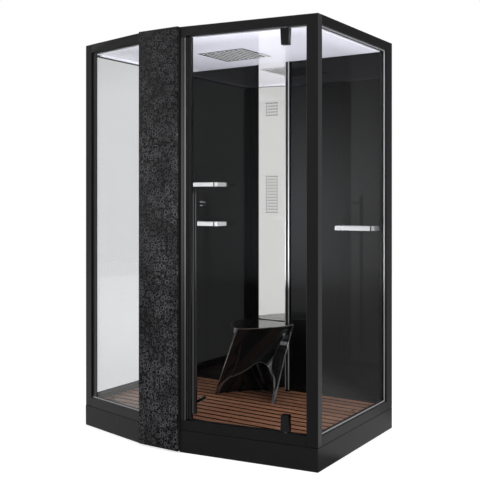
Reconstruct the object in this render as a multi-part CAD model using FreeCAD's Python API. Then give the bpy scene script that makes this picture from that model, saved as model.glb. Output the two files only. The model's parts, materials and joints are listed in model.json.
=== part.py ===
import FreeCAD, Part
import math
import os

# Framed shower cabin with a bowed front: a pivoted glass door, a service column and a fixed
# glass bay in front, glass sides, dark back panels, a shower ceiling and a slatted deck.
# Millimetres. X runs to the right, Y to the back, Z up. The origin is under the middle of the
# whole object, on the floor.

# Plan and height of the cabin
cabin_width = 1500.0
side_depth = 900.0
bow_depth = 108.0
cabin_height = 2180.0
door_run = 740.0
column_run = 256.0

# Base: levelling feet, beams, tray and aprons
foot_height = 58.0
foot_pad_radius = 25.0
foot_pad_height = 10.0
foot_stem_radius = 6.0
foot_setback = 40.0
beam_size = 30.0
beam_wall = 2.0
beam_end_setback = 120.0
beam_edge_setback = 45.0
tray_floor = 12.0
basin_depth = 18.0
apron_thickness = 6.0
apron_floor_gap = 3.0
apron_reveal = 2.0

# Drain under the deck
drain_setback = 600.0
drain_flange_radius = 55.0
drain_flange_height = 3.0
drain_neck_radius = 40.0
drain_neck_wall = 4.0
drain_neck_length = 40.0
drain_fit = 0.3
grate_radius = 46.0
grate_height = 2.5
grate_hole_radius = 4.0
grate_hole_count = 12
grate_hole_circle = 24.0
trap_wall = 5.0
trap_floor_gap = 10.0
outlet_pipe_radius = 18.0
outlet_spigot_radius = 20.0
outlet_spigot_length = 40.0
outlet_bore_radius = 15.0
outlet_beam_gap = 4.0

# Slatted deck
slat_width = 52.0
slat_gap = 12.0
slat_height = 22.0
deck_clearance = 4.0
batten_width = 40.0
batten_count = 5
batten_end_setback = 190.0
lift_ring_radius = 12.0
lift_ring_bore = 8.5
lift_ring_depth = 16.0
right_ring_side_setback = 118.0
right_ring_back_setback = 268.0
left_ring_side_setback = 96.0
left_ring_front_setback = 120.0

# Frame profiles
profile_depth = 42.0
profile_wall = 2.0
right_post_face = 58.6
left_post_face = 55.0
back_post_face = 78.0
jamb_width = 37.0
mullion_inner_width = 11.0
bottom_rail_height = 50.0
top_rail_height = 49.0

# Fixed glass and its beads
glass_setback = 15.0
glass_thickness = 8.0
bead_width = 6.0
bead_thickness = 4.0
wide_bead_width = 36.0

# Back wall and jets column
back_frame_depth = 35.0
back_panel_thickness = 8.0
stud_width = 40.0
stud_side_setback = 330.0
jets_width = 186.0
jets_depth = 38.0
jets_wall = 2.0
trim_width = 24.0
trim_thickness = 6.0
jet_pitch = 18.2
jet_columns = 5
upper_jet_rows = 5
lower_jet_rows = 13
upper_jets_drop = 332.0
jets_spacing = 520.0
jet_radius = 4.0
jet_fit = 0.3
jet_stand = 1.5
manifold_margin = 14.0
manifold_depth = 20.0
wall_hole_radius = 4.5
wall_hole_side_setback = 150.0

# Ceiling, roof and rain head
ceiling_recess = 1.0
ceiling_thickness = 5.0
lid_thickness = 6.0
led_width = 12.0
led_height = 6.0
led_end_setback = 75.0
head_size = 310.0
head_lip = 10.0
head_wall = 5.0
head_flange_height = 3.0
head_body_height = 13.0
head_setback = 415.0
head_fit = 0.5
nozzle_margin = 15.0
nozzle_pitch = 30.0
nozzle_radius = 6.0
nozzle_fit = 0.1
nozzle_stand = 1.5
membrane_height = 2.0
power_supply_width = 160.0
power_supply_depth = 60.0
power_supply_lid_gap = 7.0
power_supply_head_gap = 60.0
power_supply_back_setback = 240.0
gland_radius = 10.0
gland_bore = 4.0
gland_flange_radius = 13.0
gland_flange_height = 4.0
gland_tail = 6.0
gland_fit = 0.3

# Service column
column_glass_thickness = 6.0
column_backing_depth = 13.0
column_floor_gap = 10.0
column_depth = 77.0
column_wall = 2.0
column_cover_thickness = 3.0
control_width = 120.0
control_depth = 26.0
control_height = 60.0
control_rise = 246.0

# Mixer valve, its knobs and the pipes
valve_height = 1100.0
valve_radius = 22.0
valve_length = 184.0
valve_setback = 40.0
valve_boss_radius = 11.0
valve_boss_reach = 34.0
valve_foot_width = 24.0
hot_port = 37.0
cold_port = -33.0
head_port = -73.0
jets_port = 72.0
spindle_spread = 52.0
spindle_radius = 5.0
spindle_clearance = 0.05
spindle_depth = 22.0
spindle_boss_radius = 12.0
spindle_boss_gap = 5.0
cover_hole_radius = 15.0
knob_radius = 24.0
knob_depth = 20.0
knob_gap = 2.0
knob_bevel = 2.0
knob_bar_width = 10.0
knob_bar_height = 12.0
pipe_radius = 7.5
pipe_wall = 1.2
pipe_hole_gap = 1.5
supply_beam_gap = 12.5
nipple_radius = 10.5
nipple_length = 20.0
riser_start = 20.0
roof_pipe_gap = 2.0
head_pipe_end = 1.5

# Pivoted door
door_floor_gap = 6.0
door_head_gap = 6.0
door_side_gap = 6.0
door_setback = 17.0
door_edge_width = 21.0
door_edge_depth = 20.0
strike_gap = 4.0
strike_seal_width = 2.6
strike_seal_depth = 18.0
hinge_seal_width = 4.5
pivot_setback = 113.4
pivot_pin_radius = 5.0
pivot_clearance = 0.05
bush_radius = 8.0
bush_length = 24.0
bush_fit = 0.05
collar_radius = 9.0
collar_gap = 0.3
patch_width = 47.0
patch_height = 80.0
patch_depth = 30.0
patch_taper = 4.0
notch_width = 30.0
notch_height = 40.0

# Door handle
handle_setback = 49.6
handle_reach = 61.0
handle_radius = 12.0
handle_low = 224.0
handle_length = 1105.0
standoff_end_setback = 54.0
standoff_radius = 7.5
standoff_hole_gap = 0.3
cap_radius = 11.0
cap_length = 36.0

# Wall shelves: one on the right, two on the left
shelf_width = 245.0
shelf_depth = 115.0
shelf_height = 25.0
shelf_wall = 4.0
shelf_corner = 20.0
shelf_plate = 4.0
right_shelf_gap = 2.0
left_shelf_gap = 108.0
right_shelf_low = 1122.0
left_upper_shelf_low = 1379.0
left_lower_shelf_low = 1130.0
shelf_screw_radius = 5.0
shelf_screw_height = 2.5
shelf_screw_spread = 150.0

# Loose stool: seat corners in front of the jets column, three feet turned against the seat
stool_height = 420.0
stool_seat_side = 388.0
stool_seat_bulge = 38.0
stool_seat_back_gap = 20.0
stool_left_reach = 226.0
stool_right_reach = 198.5
stool_foot_depth = 268.0
stool_foot_bulge = 28.0
stool_foot_back_gap = 33.0
stool_waist = 74.0
stool_wall = 6.0
stool_tip_width = 16.0
stool_tip_depth = 20.0
stool_fin_end = 24.0
stool_fin_growth = 42.0
stool_ridge = 20.0
stool_arch_height = 205.0
stool_arch_lean = 40.0
stool_arch_setback = 4.0
stool_arch_reach = 62.0
stool_arch_taper = 0.3

UP = FreeCAD.Vector(0, 0, 1)
BACK = FreeCAD.Vector(0, 1, 0)
RIGHT = FreeCAD.Vector(1, 0, 0)


def vec(x, y, z=0.0):
    return FreeCAD.Vector(x, y, z)


def prism(points, z_low, z_high):
    """Upright solid over a plan outline."""
    corners = [vec(p.x, p.y, z_low) for p in points]
    outline = Part.makePolygon(corners + corners[:1])
    return Part.Face(outline).extrude(UP * (z_high - z_low))


def box(x, y, z):
    """Block from three (low, high) pairs."""
    return Part.makeBox(x[1] - x[0], y[1] - y[0], z[1] - z[0], vec(x[0], y[0], z[0]))


def rod(base, axis, radius, length):
    return Part.makeCylinder(radius, length, base, axis)


def tube(base, axis, radius, bore, length):
    return rod(base, axis, radius, length).cut(rod(base, axis, bore, length))


def cross(a, b):
    return a.x * b.y - a.y * b.x


def inset(points, offsets):
    """Move each side of a plan outline inwards by its own offset."""
    count = len(points)
    area = sum(cross(points[i], points[(i + 1) % count]) for i in range(count))
    side = 1.0 if area < 0 else -1.0
    lines = []
    for i, offset in enumerate(offsets):
        along = (points[(i + 1) % count] - points[i]).normalize()
        inward = vec(along.y, -along.x) * side
        lines.append((points[i] + inward * offset, along))
    moved = []
    for i in range(count):
        start, along = lines[i - 1]
        other, other_along = lines[i]
        reach = cross(other - start, other_along) / cross(along, other_along)
        moved.append(start + along * reach)
    return moved


def hollow_prism(points, wall, z_low, z_high):
    """Upright extrusion with one chamber, capped at the top."""
    chamber = inset(points, [wall] * len(points))
    return prism(points, z_low, z_high).cut(prism(chamber, z_low, z_high - wall))


class Bay:
    """One straight side of the plan: s runs along it, o goes inwards from its outer face."""

    def __init__(self, start, end):
        self.start = start
        self.length = (end - start).Length
        self.along = (end - start).normalize()
        self.inward = vec(self.along.y, -self.along.x)

    def point(self, s, o, z=0.0):
        return self.start + self.along * s + self.inward * o + UP * z

    def outline(self, s, o):
        return [self.point(s[0], o[0]), self.point(s[1], o[0]),
                self.point(s[1], o[1]), self.point(s[0], o[1])]

    def block(self, s, o, z):
        return prism(self.outline(s, o), z[0], z[1])

    def rail(self, s, o, z, wall):
        """Hollow profile lying along the bay."""
        chamber = self.block(s, (o[0] + wall, o[1] - wall), (z[0] + wall, z[1] - wall))
        return self.block(s, o, z).cut(chamber)


# Heights
beam_low = foot_height
tray_low = beam_low + beam_size
basin_low = tray_low + tray_floor
rim_top = basin_low + basin_depth
deck_top = rim_top + slat_height
rail_low_top = rim_top + bottom_rail_height
rail_high_low = cabin_height - top_rail_height
ceiling_low = rail_high_low + ceiling_recess
ceiling_top = ceiling_low + ceiling_thickness
lid_low = cabin_height - lid_thickness
head_top = ceiling_low + head_body_height
roof_pipe_z = lid_low - roof_pipe_gap - pipe_radius
pipe_bend = roof_pipe_z - head_top - head_pipe_end
door_low = rail_low_top + door_floor_gap
door_high = rail_high_low - door_head_gap
apron_top = rim_top - apron_reveal
outlet_z = beam_low - outlet_beam_gap - outlet_spigot_radius
supply_z = beam_low - supply_beam_gap - nipple_radius
upper_jets_z = cabin_height - upper_jets_drop
lower_jets_z = upper_jets_z - jets_spacing
control_z = valve_height + control_rise

# The front line is set back so that the middle of the whole object is over the origin
door_tilt = math.atan2(bow_depth, door_run)
door_length = math.hypot(door_run, bow_depth)
jamb_s = door_length - jamb_width
door_edge_s = jamb_s - strike_gap
door_glass_s = (right_post_face + door_side_gap, door_edge_s - door_edge_width)
pivot_s = right_post_face + pivot_setback
pivot_o = door_setback + glass_thickness / 2
handle_s = door_glass_s[1] - handle_setback
handle_o = door_setback - handle_reach
handle_front = handle_s * math.sin(door_tilt) - handle_o * math.cos(door_tilt) + handle_radius
column_proud = column_glass_thickness + column_backing_depth
front_reach = max(handle_front, bow_depth + column_proud)
front_y = (front_reach - side_depth) / 2
back_y = front_y + side_depth

# Plan corners and bays, going round from the right front corner
half_width = cabin_width / 2
corner_right_front = vec(half_width, front_y)
corner_column_right = vec(half_width - door_run, front_y - bow_depth)
corner_column_left = vec(half_width - door_run - column_run, front_y - bow_depth)
corner_left_front = vec(-half_width, front_y)
corner_left_back = vec(-half_width, back_y)
corner_right_back = vec(half_width, back_y)
plan = [corner_right_front, corner_column_right, corner_column_left,
        corner_left_front, corner_left_back, corner_right_back]
door_bay = Bay(corner_right_front, corner_column_right)
column_bay = Bay(corner_column_right, corner_column_left)
left_front_bay = Bay(corner_column_left, corner_left_front)
left_bay = Bay(corner_left_front, corner_left_back)
back_bay = Bay(corner_left_back, corner_right_back)
right_bay = Bay(corner_right_back, corner_right_front)

# Places inside the cabin
panel_face = back_frame_depth + back_panel_thickness
jets_front = back_frame_depth + jets_depth
wall_y = back_y - panel_face
jets_y = back_y - jets_front
column_inner = column_depth + column_cover_thickness
column_y = corner_column_right.y
column_x = corner_column_right.x - column_run / 2
valve_y = column_y + valve_setback
batten_span = cabin_width - 2 * batten_end_setback
batten_pitch = batten_span / (batten_count - 1)
drain_x = (batten_span - batten_pitch) / 2
drain_y = back_y - drain_setback
outer_stud_x = half_width - stud_side_setback
wall_hole_spacing = cabin_width - 2 * wall_hole_side_setback
left_front_run = cabin_width - door_run - column_run
mullion_width = mullion_inner_width + profile_depth * bow_depth / left_front_run
head_x = column_x - head_port
head_y = back_y - head_setback
power_supply_x = head_x - (head_size + power_supply_width) / 2 - power_supply_head_gap


def plan_prism(front, back, z_low, z_high, column_gap=0.0):
    """Plan area inside the frame, less the service column."""
    area = prism(inset(plan, [front, front, front, front, back, front]), z_low, z_high)
    return area.cut(column_zone(column_gap, z_low, z_high))


def column_zone(gap, z_low, z_high):
    span = (-gap, column_run + gap)
    return column_bay.block(span, (-column_proud, column_inner + gap), (z_low, z_high))


def jets_zone(gap, z_low, z_high):
    half = jets_width / 2 + trim_width + gap
    return box((-half, half), (jets_y - gap, back_y), (z_low, z_high))


def beside_column(bay, corner, depth):
    """Point behind a column corner, at a depth inside the bay that ends there."""
    return corner + BACK * (depth / bay.inward.y)


# Base

def levelling_feet():
    feet = []
    half = half_width - beam_end_setback - foot_setback
    for y in beam_lines():
        for x in (-half, 0.0, half):
            pad = rod(vec(x, y), UP, foot_pad_radius, foot_pad_height)
            stem = rod(vec(x, y), UP, foot_stem_radius, foot_height)
            feet.append(pad.fuse(stem).removeSplitter())
    return Part.makeCompound(feet)


def beam_lines():
    """Middle lines of the front and back beams."""
    return (front_y + beam_edge_setback + beam_size / 2, back_y - beam_edge_setback - beam_size / 2)


def square_beam(x, y):
    """Square tube along the longer of its two plan sides."""
    z = (beam_low, tray_low)
    chamber_x = x
    chamber_y = (y[0] + beam_wall, y[1] - beam_wall)
    if y[1] - y[0] > x[1] - x[0]:
        chamber_x = (x[0] + beam_wall, x[1] - beam_wall)
        chamber_y = y
    chamber = box(chamber_x, chamber_y, (z[0] + beam_wall, z[1] - beam_wall))
    return box(x, y, z).cut(chamber)


def base_beams():
    half = half_width - beam_end_setback
    front, back = beam_lines()
    grip = beam_size / 2
    beams = [square_beam((-half, half), (y - grip, y + grip)) for y in (front, back)]
    for x in (grip - half, 0.0, half - grip):
        beams.append(square_beam((x - grip, x + grip), (front + grip, back - grip)))
    return Part.makeCompound(beams)


def tray():
    body = prism(inset(plan, [apron_thickness] * 4 + [0.0, apron_thickness]), tray_low, rim_top)
    body = body.cut(plan_prism(profile_depth, panel_face, basin_low, rim_top))
    hole = drain_neck_radius + drain_fit
    body = body.cut(rod(vec(drain_x, drain_y, tray_low), UP, hole, tray_floor))
    for offset in (hot_port, cold_port):
        pipe_hole = rod(port(offset, tray_low), UP, pipe_radius + pipe_hole_gap, rim_top - tray_low)
        body = body.cut(pipe_hole)
    return body


def aprons():
    inner = inset(plan, [apron_thickness] * 4 + [0.0, apron_thickness])
    right_end = beside_column(door_bay, corner_column_right, apron_thickness)
    left_end = beside_column(left_front_bay, corner_column_left, apron_thickness)
    outlines = [
        [corner_right_front, corner_column_right, right_end, inner[0]],
        [corner_column_left, corner_left_front, inner[3], left_end],
        [corner_left_front, corner_left_back, inner[4], inner[3]],
        [corner_right_back, corner_right_front, inner[0], inner[5]],
    ]
    return Part.makeCompound([prism(outline, apron_floor_gap, apron_top) for outline in outlines])


# Drain

def drain_waste():
    flange = rod(vec(drain_x, drain_y, basin_low), UP, drain_flange_radius, drain_flange_height)
    neck = rod(vec(drain_x, drain_y, basin_low), -UP, drain_neck_radius, drain_neck_length)
    bore_height = drain_neck_length + drain_flange_height
    bore = rod(vec(drain_x, drain_y, basin_low - drain_neck_length), UP,
               drain_neck_radius - drain_neck_wall, bore_height)
    return flange.fuse(neck).cut(bore)


def drain_grate():
    base = vec(drain_x, drain_y, basin_low + drain_flange_height)
    disc = rod(base, UP, grate_radius, grate_height)
    for i in range(grate_hole_count):
        angle = 2 * math.pi * i / grate_hole_count
        place = base + vec(math.cos(angle), math.sin(angle)) * grate_hole_circle
        disc = disc.cut(rod(place, UP, grate_hole_radius, grate_height))
    return disc


def drain_trap():
    bore = drain_neck_radius + drain_fit
    radius = bore + trap_wall
    base = vec(drain_x, drain_y, trap_floor_gap)
    start = vec(drain_x, drain_y, outlet_z)
    reach = back_y - drain_y
    spigot_start = vec(drain_x, back_y - outlet_spigot_length, outlet_z)
    body = rod(base, UP, radius, tray_low - trap_floor_gap)
    body = body.fuse(rod(start, BACK, outlet_pipe_radius, reach))
    body = body.fuse(rod(spigot_start, BACK, outlet_spigot_radius, outlet_spigot_length))
    body = body.cut(rod(base + UP * trap_wall, UP, bore, tray_low - trap_floor_gap))
    return body.cut(rod(start, BACK, outlet_bore_radius, reach))


# Deck

def deck_area(z_low, z_high):
    """Plan area of the deck, clear of the frame, the back panels and the column."""
    front = profile_depth + deck_clearance
    back = panel_face + deck_clearance
    return plan_prism(front, back, z_low, z_high, deck_clearance)


def slat_rows():
    """Low and high Y of every slat, counted from the back."""
    pitch = slat_width + slat_gap
    high = wall_y - deck_clearance
    low = column_y + profile_depth + deck_clearance
    count = int((high - low) // pitch)
    return [(high - i * pitch - slat_width, high - i * pitch) for i in range(count)]


def lift_ring_centres():
    """Each ring sits in the middle of the slat that is nearest to its place."""
    middles = [(low + high) / 2 for low, high in slat_rows()]
    places = [
        (half_width - right_ring_side_setback, back_y - right_ring_back_setback),
        (left_ring_side_setback - half_width, front_y + left_ring_front_setback),
    ]
    return [vec(x, min(middles, key=lambda middle: abs(middle - y)), deck_top) for x, y in places]


def deck_slats():
    area = deck_area(rim_top, deck_top).cut(jets_zone(deck_clearance, rim_top, deck_top))
    for centre in lift_ring_centres():
        area = area.cut(rod(centre, -UP, lift_ring_radius, lift_ring_depth))
    solids = []
    for low, high in slat_rows():
        solids += area.common(box((-half_width, half_width), (low, high), (rim_top, deck_top))).Solids
    return Part.makeCompound(solids)


def deck_battens():
    area = deck_area(basin_low, rim_top)
    half = batten_width / 2
    solids = []
    for i in range(batten_count):
        x = batten_pitch * i - batten_span / 2
        strip = box((x - half, x + half), (front_y - bow_depth, back_y), (basin_low, rim_top))
        solids += area.common(strip).Solids
    return Part.makeCompound(solids)


def deck_lift_rings():
    cups = [tube(c, -UP, lift_ring_radius, lift_ring_bore, lift_ring_depth) for c in lift_ring_centres()]
    return Part.makeCompound(cups)


# Frame

def inner_corners():
    """Plan corners along the inner faces of the frame."""
    return inset(plan, [profile_depth] * len(plan))


def post_front_right():
    side_s = right_bay.length - profile_depth
    outline = [corner_right_front, door_bay.point(right_post_face, 0),
               door_bay.point(right_post_face, profile_depth), inner_corners()[0],
               right_bay.point(side_s, profile_depth), right_bay.point(side_s, 0)]
    return hollow_prism(outline, profile_wall, rim_top, cabin_height)


def post_front_left():
    face_s = left_front_bay.length - left_post_face
    outline = [left_front_bay.point(face_s, 0), corner_left_front, left_bay.point(profile_depth, 0),
               left_bay.point(profile_depth, profile_depth), inner_corners()[3],
               left_front_bay.point(face_s, profile_depth)]
    return hollow_prism(outline, profile_wall, rim_top, cabin_height)


def back_posts():
    depth = (0, profile_depth)
    left = left_bay.outline((left_bay.length - back_post_face, left_bay.length), depth)
    right = right_bay.outline((0, back_post_face), depth)
    return Part.makeCompound([hollow_prism(o, profile_wall, rim_top, cabin_height) for o in (left, right)])


def jamb_door():
    outline = [door_bay.point(jamb_s, 0), corner_column_right,
               beside_column(door_bay, corner_column_right, profile_depth),
               door_bay.point(jamb_s, profile_depth)]
    return hollow_prism(outline, profile_wall, rim_top, cabin_height)


def mullion_left_front():
    outline = [corner_column_left, left_front_bay.point(mullion_width, 0),
               left_front_bay.point(mullion_width, profile_depth),
               beside_column(left_front_bay, corner_column_left, profile_depth)]
    return hollow_prism(outline, profile_wall, rim_top, cabin_height)


def rail_spans():
    """Each framed bay with the stretch between its uprights."""
    return [
        (door_bay, (right_post_face, jamb_s)),
        (left_front_bay, (mullion_width, left_front_bay.length - left_post_face)),
        (left_bay, (profile_depth, left_bay.length - back_post_face)),
        (right_bay, (back_post_face, right_bay.length - profile_depth)),
    ]


def rails(z_low, z_high):
    depth = (0, profile_depth)
    return Part.makeCompound([bay.rail(s, depth, (z_low, z_high), profile_wall) for bay, s in rail_spans()])


def bottom_rails():
    return rails(rim_top, rail_low_top)


def top_rails():
    return rails(rail_high_low, cabin_height)


def back_frame():
    depth = (0, back_frame_depth)
    span = (profile_depth, cabin_width - profile_depth)
    low = back_bay.rail(span, depth, (rim_top, rail_low_top), profile_wall)
    high = back_bay.rail(span, depth, (rail_high_low, cabin_height), profile_wall)
    gland = rod(gland_start(), -BACK, gland_radius + gland_fit, back_frame_depth)
    solids = [low, high.cut(gland)]
    for i, z in enumerate(wall_hole_heights()):
        for side in (-1, 1):
            place = vec(side * wall_hole_spacing / 2, back_y, z)
            solids[i] = solids[i].cut(rod(place, -BACK, wall_hole_radius, back_frame_depth))
    inner_stud_x = (jets_width + trim_width) / 2
    for x in (-outer_stud_x, -inner_stud_x, inner_stud_x, outer_stud_x):
        s = x + half_width
        stud = hollow_prism(back_bay.outline((s - stud_width / 2, s + stud_width / 2), depth),
                            profile_wall, rail_low_top, rail_high_low)
        solids.append(stud)
    return Part.makeCompound(solids)


def wall_hole_heights():
    """Middle heights of the two back rails, where the cabin is screwed to a wall."""
    return ((rim_top + rail_low_top) / 2, (rail_high_low + cabin_height) / 2)


# Fixed glass

def fixed_glass(index):
    bay, span = rail_spans()[index]
    depth = (glass_setback, glass_setback + glass_thickness)
    return bay.block(span, depth, (rail_low_top, rail_high_low))


def glazing_beads():
    """Four straight beads on the outer face of each fixed pane."""
    depth = (glass_setback - bead_thickness, glass_setback)
    low, high = rail_low_top, rail_high_low
    bars = []
    for bay, span in rail_spans()[1:]:
        end_width = wide_bead_width if bay is left_front_bay else bead_width
        start_s = span[0] + bead_width
        end_s = span[1] - end_width
        bars.append(bay.block((span[0], start_s), depth, (low, high)))
        bars.append(bay.block((end_s, span[1]), depth, (low, high)))
        bars.append(bay.block((start_s, end_s), depth, (low, low + bead_width)))
        bars.append(bay.block((start_s, end_s), depth, (high - bead_width, high)))
    return Part.makeCompound(bars)


# Back wall

def back_panels():
    edge = jets_width / 2
    end = half_width - profile_depth
    y = (wall_y, back_y - back_frame_depth)
    z = (rim_top, ceiling_low)
    return Part.makeCompound([box((-end, -edge), y, z), box((edge, end), y, z)])


JET_GROUPS = ((upper_jet_rows, upper_jets_z), (lower_jet_rows, lower_jets_z))


def jet_places():
    """Centre of every jet, as (x, z)."""
    places = []
    for rows, middle in JET_GROUPS:
        for i in range(jet_columns):
            for j in range(rows):
                x = (i - (jet_columns - 1) / 2) * jet_pitch
                z = middle + (j - (rows - 1) / 2) * jet_pitch
                places.append((x, z))
    return places


def jets_column():
    half = jets_width / 2
    back = back_y - back_frame_depth
    z = (rim_top, ceiling_low)
    shell = box((-half, half), (jets_y, back), z)
    shell = shell.cut(box((jets_wall - half, half - jets_wall), (jets_y + jets_wall, back), z))
    holes = [rod(vec(x, jets_y, z_jet), BACK, jet_radius + jet_fit, jets_wall) for x, z_jet in jet_places()]
    return shell.cut(Part.makeCompound(holes))


def manifold_span(rows, middle):
    reach = (rows - 1) / 2 * jet_pitch + manifold_margin
    return (middle - reach, middle + reach)


def jet_manifolds():
    half = (jet_columns - 1) / 2 * jet_pitch + manifold_margin
    front = jets_y + jets_wall
    solids = []
    for rows, middle in JET_GROUPS:
        span = manifold_span(rows, middle)
        body = box((-half, half), (front, front + manifold_depth), span)
        stubs = []
        for x, z in jet_places():
            if span[0] < z < span[1]:
                stubs.append(rod(vec(x, jets_y - jet_stand, z), BACK, jet_radius, jet_stand + jets_wall))
        solids.append(body.fuse(stubs))
    return Part.makeCompound(solids)


def panel_trims():
    inner = jets_width / 2
    y = (wall_y - trim_thickness, wall_y)
    z = (rim_top, ceiling_low)
    outer = inner + trim_width
    return Part.makeCompound([box((-outer, -inner), y, z), box((inner, outer), y, z)])


# Ceiling and roof

def ceiling_panel():
    panel = plan_prism(profile_depth, back_frame_depth, ceiling_low, ceiling_top)
    panel = panel.cut(square(head_size - 2 * head_lip + 2 * head_fit, ceiling_low, ceiling_top))
    hole = rod(vec(0, jets_pipe_y(), ceiling_low), UP, pipe_radius + pipe_hole_gap, ceiling_thickness)
    return panel.cut(hole)


def roof_lid():
    return plan_prism(profile_depth, back_frame_depth, lid_low, cabin_height)


def ceiling_led_strips():
    strips = []
    depth = (profile_depth, profile_depth + led_width)
    for bay in (door_bay, left_front_bay, left_bay, right_bay):
        span = (led_end_setback, bay.length - led_end_setback)
        strips.append(bay.block(span, depth, (ceiling_low - led_height, ceiling_low)))
    return Part.makeCompound(strips)


def square(size, z_low, z_high):
    """Square slab over the middle of the rain head."""
    half = size / 2
    return box((head_x - half, head_x + half), (head_y - half, head_y + half), (z_low, z_high))


def head_levels():
    """Underside of the flange, ceiling underside and top of the rain head."""
    return ceiling_low - head_flange_height, ceiling_low, head_top


def shower_head():
    low, seat, top = head_levels()
    body_size = head_size - 2 * head_lip
    body = square(head_size, low, seat).fuse(square(body_size, seat, top))
    return body.cut(square(face_size(), low, top - head_wall))


def face_size():
    """Side of the face plate inside the head."""
    return head_size - 2 * head_lip - 2 * head_wall


def nozzle_places():
    """Square grid of as many nozzles as the face plate has room for."""
    places = []
    gaps = int((face_size() - 2 * nozzle_margin) // nozzle_pitch)
    for i in range(gaps + 1):
        for j in range(gaps + 1):
            x = head_x + (i - gaps / 2) * nozzle_pitch
            y = head_y + (j - gaps / 2) * nozzle_pitch
            places.append((x, y))
    return places


def shower_head_face():
    low, seat, _ = head_levels()
    plate = square(face_size(), low, seat)
    radius = nozzle_radius + nozzle_fit
    holes = [rod(vec(x, y, low), UP, radius, head_flange_height) for x, y in nozzle_places()]
    return plate.cut(Part.makeCompound(holes))


def shower_head_nozzles():
    low, seat, _ = head_levels()
    membrane = square(face_size(), seat, seat + membrane_height)
    tip = low - nozzle_stand
    nozzles = [rod(vec(x, y, tip), UP, nozzle_radius, seat - tip) for x, y in nozzle_places()]
    return membrane.fuse(nozzles)


def power_supply():
    x = (power_supply_x - power_supply_width / 2, power_supply_x + power_supply_width / 2)
    back = back_y - power_supply_back_setback
    return box(x, (back - power_supply_depth, back), (ceiling_top, lid_low - power_supply_lid_gap))


def gland_start():
    return vec(power_supply_x, back_y, (ceiling_top + lid_low) / 2)


def cable_gland():
    length = back_frame_depth + gland_flange_height + gland_tail
    flange_start = gland_start() - BACK * back_frame_depth
    body = rod(gland_start(), -BACK, gland_radius, length)
    body = body.fuse(rod(flange_start, -BACK, gland_flange_radius, gland_flange_height))
    return body.cut(rod(gland_start(), -BACK, gland_bore, length))


# Service column

def column_glass():
    depth = (-column_proud, -column_backing_depth)
    return column_bay.block((0, column_run), depth, (column_floor_gap, cabin_height))


def column_backing():
    return column_bay.block((0, column_run), (-column_backing_depth, 0), (column_floor_gap, cabin_height))


def column_housing():
    z = (rim_top, cabin_height)
    shell = column_bay.block((0, column_run), (0, column_depth), z)
    inside = column_bay.block((column_wall, column_run - column_wall), (column_wall, column_depth),
                              (rim_top, cabin_height - column_wall))
    return shell.cut(inside)


def column_inner_cover():
    depth = (column_depth, column_inner)
    cover = column_bay.block((0, column_run), depth, (rim_top, ceiling_low))
    for place in spindle_places():
        start = vec(place.x, column_y + column_depth, valve_height)
        cover = cover.cut(rod(start, BACK, cover_hole_radius, column_cover_thickness))
    return cover


def control_box():
    middle = column_run / 2
    span = (middle - control_width / 2, middle + control_width / 2)
    height = (control_z - control_height / 2, control_z + control_height / 2)
    return column_bay.block(span, (column_wall, column_wall + control_depth), height)


# Water: valve, knobs and pipes

def port(offset, z):
    return vec(column_x - offset, valve_y, z)


def spindle_places():
    """Spindle axes at the middle of the valve: temperature on the left, diverter on the right."""
    return [port(spindle_spread, valve_height), port(-spindle_spread, valve_height)]


def spindle_mouth_y():
    return column_y + column_depth - spindle_boss_gap


def mixer_valve():
    half = valve_length / 2
    body = rod(vec(column_x - half, valve_y, valve_height), RIGHT, valve_radius, valve_length)
    for offset, side in ((hot_port, -1), (cold_port, -1), (head_port, 1), (jets_port, 1)):
        body = body.fuse(rod(port(offset, valve_height), UP * side, valve_boss_radius, valve_boss_reach))
    grip = valve_foot_width / 2
    front = (column_y + column_wall, valve_y)
    for place in spindle_places():
        foot = box((place.x - grip, place.x + grip), front, (valve_height - grip, valve_height + grip))
        boss = rod(place, BACK, spindle_boss_radius, spindle_mouth_y() - valve_y)
        body = body.fuse(foot).fuse(boss)
    for place in spindle_places():
        mouth = vec(place.x, spindle_mouth_y(), valve_height)
        body = body.cut(rod(mouth, -BACK, spindle_radius + spindle_clearance, spindle_depth))
    return body.removeSplitter()


def knob(place):
    """Round knob with a grip bar, on a spindle that runs in the valve."""
    cover_y = column_y + column_inner
    start = vec(place.x, cover_y + knob_gap, valve_height)
    disc = rod(start, BACK, knob_radius, knob_depth)
    disc = disc.makeChamfer(knob_bevel, [disc.Edges[0], disc.Edges[2]])
    tip_y = spindle_mouth_y() - spindle_depth + knob_gap
    spindle = rod(vec(place.x, tip_y, valve_height), BACK, spindle_radius, start.y - tip_y)
    half_bar = knob_bar_width / 2
    reach = knob_radius - 2 * knob_bevel
    bar_y = (start.y + knob_depth, start.y + knob_depth + knob_bar_height)
    bar = box((place.x - half_bar, place.x + half_bar), bar_y, (valve_height - reach, valve_height + reach))
    return disc.fuse(spindle).fuse(bar).removeSplitter()


def temperature_knob():
    return knob(spindle_places()[0])


def diverter_knob():
    return knob(spindle_places()[1])


def bent_pipe(points):
    """Pipe along straight runs that are joined by tangent arcs."""
    edges = []
    start = points[0]
    for before, corner, after in zip(points, points[1:], points[2:]):
        arriving = (corner - before).normalize()
        leaving = (after - corner).normalize()
        arc_start = corner - arriving * pipe_bend
        arc_end = corner + leaving * pipe_bend
        middle = corner + (leaving - arriving) * pipe_bend * (1 - math.sqrt(0.5))
        edges.append(Part.makeLine(start, arc_start))
        edges.append(Part.Arc(arc_start, middle, arc_end).toShape())
        start = arc_end
    edges.append(Part.makeLine(start, points[-1]))
    path = Part.Wire(edges)
    direction = (points[1] - points[0]).normalize()
    outer = Part.Wire(Part.makeCircle(pipe_radius, points[0], direction))
    inner = Part.Wire(Part.makeCircle(pipe_radius - pipe_wall, points[0], direction))
    return path.makePipeShell([outer], True, False).cut(path.makePipeShell([inner], True, False))


def straight_pipe(start, end):
    axis = end - start
    return tube(start, axis, pipe_radius, pipe_radius - pipe_wall, axis.Length)


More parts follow.
